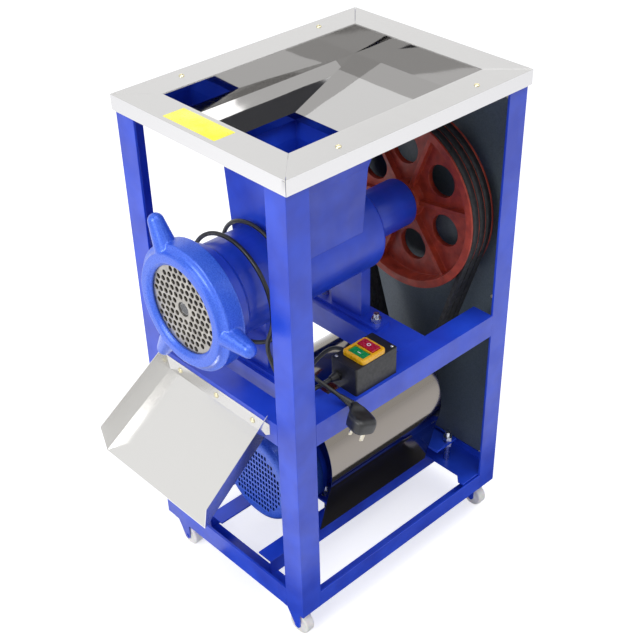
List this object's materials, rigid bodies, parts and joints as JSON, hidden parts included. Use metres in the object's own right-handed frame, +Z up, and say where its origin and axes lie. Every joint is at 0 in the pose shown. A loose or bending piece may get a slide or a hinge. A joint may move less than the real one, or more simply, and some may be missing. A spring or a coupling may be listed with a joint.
{
  "type": "meat grinder",
  "caption": "Floor-standing electric meat grinder: wheeled angle-steel frame, hopper tray, worm barrel with ring nut, belt drive, sheet chute.",
  "frame": {"origin": "on the floor, under the middle of the bounding box without the mains cord", "axes": "+Z up, -Y to the outlet and chute, +X to the switch box side"},
  "size_m": [0.5006, 0.762, 1.063],
  "materials": {
    "frame_blue": "gloss blue enamel",
    "ring_blue": "hammertone blue enamel",
    "fork_blue": "blue enamel",
    "cover_grey": "grey hammertone enamel",
    "pulley_red": "dull red primer",
    "stainless": "polished sheet",
    "plate_steel": "ground",
    "worm_steel": "tinned casting",
    "shaft_steel": "turned",
    "zinc": "zinc plated",
    "belt_rubber": "matt",
    "wheel_nylon": "cream nylon",
    "box_black": "black moulded",
    "bezel_yellow": "yellow moulded",
    "button_green": "green moulded",
    "button_red": "red moulded",
    "cord_black": "black sheath",
    "pin_brass": "plated"
  },
  "bodies": {
    "frame": {"leg_front_left": "frame_blue", "leg_front_right": "frame_blue", "leg_rear_left": "frame_blue", "leg_rear_right": "frame_blue", "top_rails": "frame_blue", "mid_rail_front": "frame_blue", "mid_rail_left": "frame_blue", "mid_rail_right": "frame_blue", "cross_member_front": "frame_blue", "cross_member_rear": "frame_blue", "bottom_rails": "frame_blue", "rear_base_plate": "frame_blue", "motor_rails": "frame_blue", "motor_plate": "frame_blue", "throat_box": "frame_blue", "barrel": "frame_blue", "bearing_housing": "frame_blue", "pedestal_front": "frame_blue", "pedestal_rear": "frame_blue", "motor_body": "frame_blue", "fan_cover": "frame_blue", "terminal_box": "frame_blue", "caster_plates": "fork_blue", "rear_cover": "cover_grey", "tray_rim": "stainless", "hopper_pan": "stainless", "motor_shield": "stainless", "chute": "stainless", "perforated_plate": "plate_steel", "shaft_bearings": "shaft_steel", "foot_bolts": "zinc", "tension_studs": "zinc", "belts": "belt_rubber", "switch_box": "box_black", "cable_glands": "box_black", "plug": "box_black", "switch_bezel": "bezel_yellow", "power_cord": "cord_black", "motor_lead": "cord_black", "plug_pins": "pin_brass"},
    "drive_train": {"big_pulley": "pulley_red", "main_shaft": "shaft_steel", "shaft_nut": "shaft_steel", "worm": "worm_steel", "cutting_knife": "plate_steel"},
    "motor_rotor": {"motor_shaft": "shaft_steel", "motor_pulley": "pulley_red", "motor_fan": "box_black"},
    "ring_nut_body": {"ring_nut": "ring_blue"},
    "start_button_body": {"start_button": "button_green"},
    "stop_button_body": {"stop_button": "button_red"},
    "fork_front_left": {"caster_fork_front_left": "fork_blue"},
    "wheel_front_left": {"caster_wheel_front_left": "wheel_nylon"},
    "fork_front_right": {"caster_fork_front_right": "fork_blue"},
    "wheel_front_right": {"caster_wheel_front_right": "wheel_nylon"},
    "fork_rear_left": {"caster_fork_rear_left": "fork_blue"},
    "wheel_rear_left": {"caster_wheel_rear_left": "wheel_nylon"},
    "fork_rear_right": {"caster_fork_rear_right": "fork_blue"},
    "wheel_rear_right": {"caster_wheel_rear_right": "wheel_nylon"}
  },
  "joints": [
    {"name": "main_spin", "type": "hinge", "parent": "frame", "child": "drive_train", "pos_m": [0, 0.24, 0.746], "axis": [0, 1, 0], "continuous": true},
    {"name": "motor_spin", "type": "hinge", "parent": "frame", "child": "motor_rotor", "pos_m": [0, 0.24, 0.268], "axis": [0, 1, 0], "continuous": true},
    {"name": "ring_nut_turn", "type": "hinge", "parent": "frame", "child": "ring_nut_body", "pos_m": [0, -0.25, 0.746], "axis": [0, -1, 0], "range_deg": [0, 900]},
    {"name": "start_press", "type": "slide", "parent": "frame", "child": "start_button_body", "axis": [0, 0, -1], "range_m": [0, 0.003], "stiffness_N_per_m": 250, "springref_m": -0.002},
    {"name": "stop_press", "type": "slide", "parent": "frame", "child": "stop_button_body", "axis": [0, 0, -1], "range_m": [0, 0.003], "stiffness_N_per_m": 250, "springref_m": -0.002},
    {"name": "swivel_front_left", "type": "hinge", "parent": "frame", "child": "fork_front_left", "pos_m": [-0.1807, -0.1907, 0.06], "axis": [0, 0, 1], "continuous": true},
    {"name": "roll_front_left", "type": "hinge", "parent": "fork_front_left", "child": "wheel_front_left", "pos_m": [-0.1712, -0.1907, 0.025], "axis": [0, -1, 0], "continuous": true},
    {"name": "swivel_front_right", "type": "hinge", "parent": "frame", "child": "fork_front_right", "pos_m": [0.1807, -0.1907, 0.06], "axis": [0, 0, 1], "continuous": true},
    {"name": "roll_front_right", "type": "hinge", "parent": "fork_front_right", "child": "wheel_front_right", "pos_m": [0.19019, -0.19037, 0.025], "axis": [0.0349, -0.9994, 0], "continuous": true},
    {"name": "swivel_rear_left", "type": "hinge", "parent": "frame", "child": "fork_rear_left", "pos_m": [-0.1807, 0.3527, 0.06], "axis": [0, 0, 1], "continuous": true},
    {"name": "roll_rear_left", "type": "hinge", "parent": "fork_rear_left", "child": "wheel_rear_left", "pos_m": [-0.17121, 0.3532, 0.025], "axis": [0.0523, -0.9986, 0], "continuous": true},
    {"name": "swivel_rear_right", "type": "hinge", "parent": "frame", "child": "fork_rear_right", "pos_m": [0.1807, 0.3527, 0.06], "axis": [0, 0, 1], "continuous": true},
    {"name": "roll_rear_right", "type": "hinge", "parent": "fork_rear_right", "child": "wheel_rear_right", "pos_m": [0.1902, 0.3527, 0.025], "axis": [0, -1, 0], "continuous": true}
  ],
  "couplings": [
    {"joint": "motor_spin", "follows": "main_spin", "ratio": 4.2222}
  ]
}
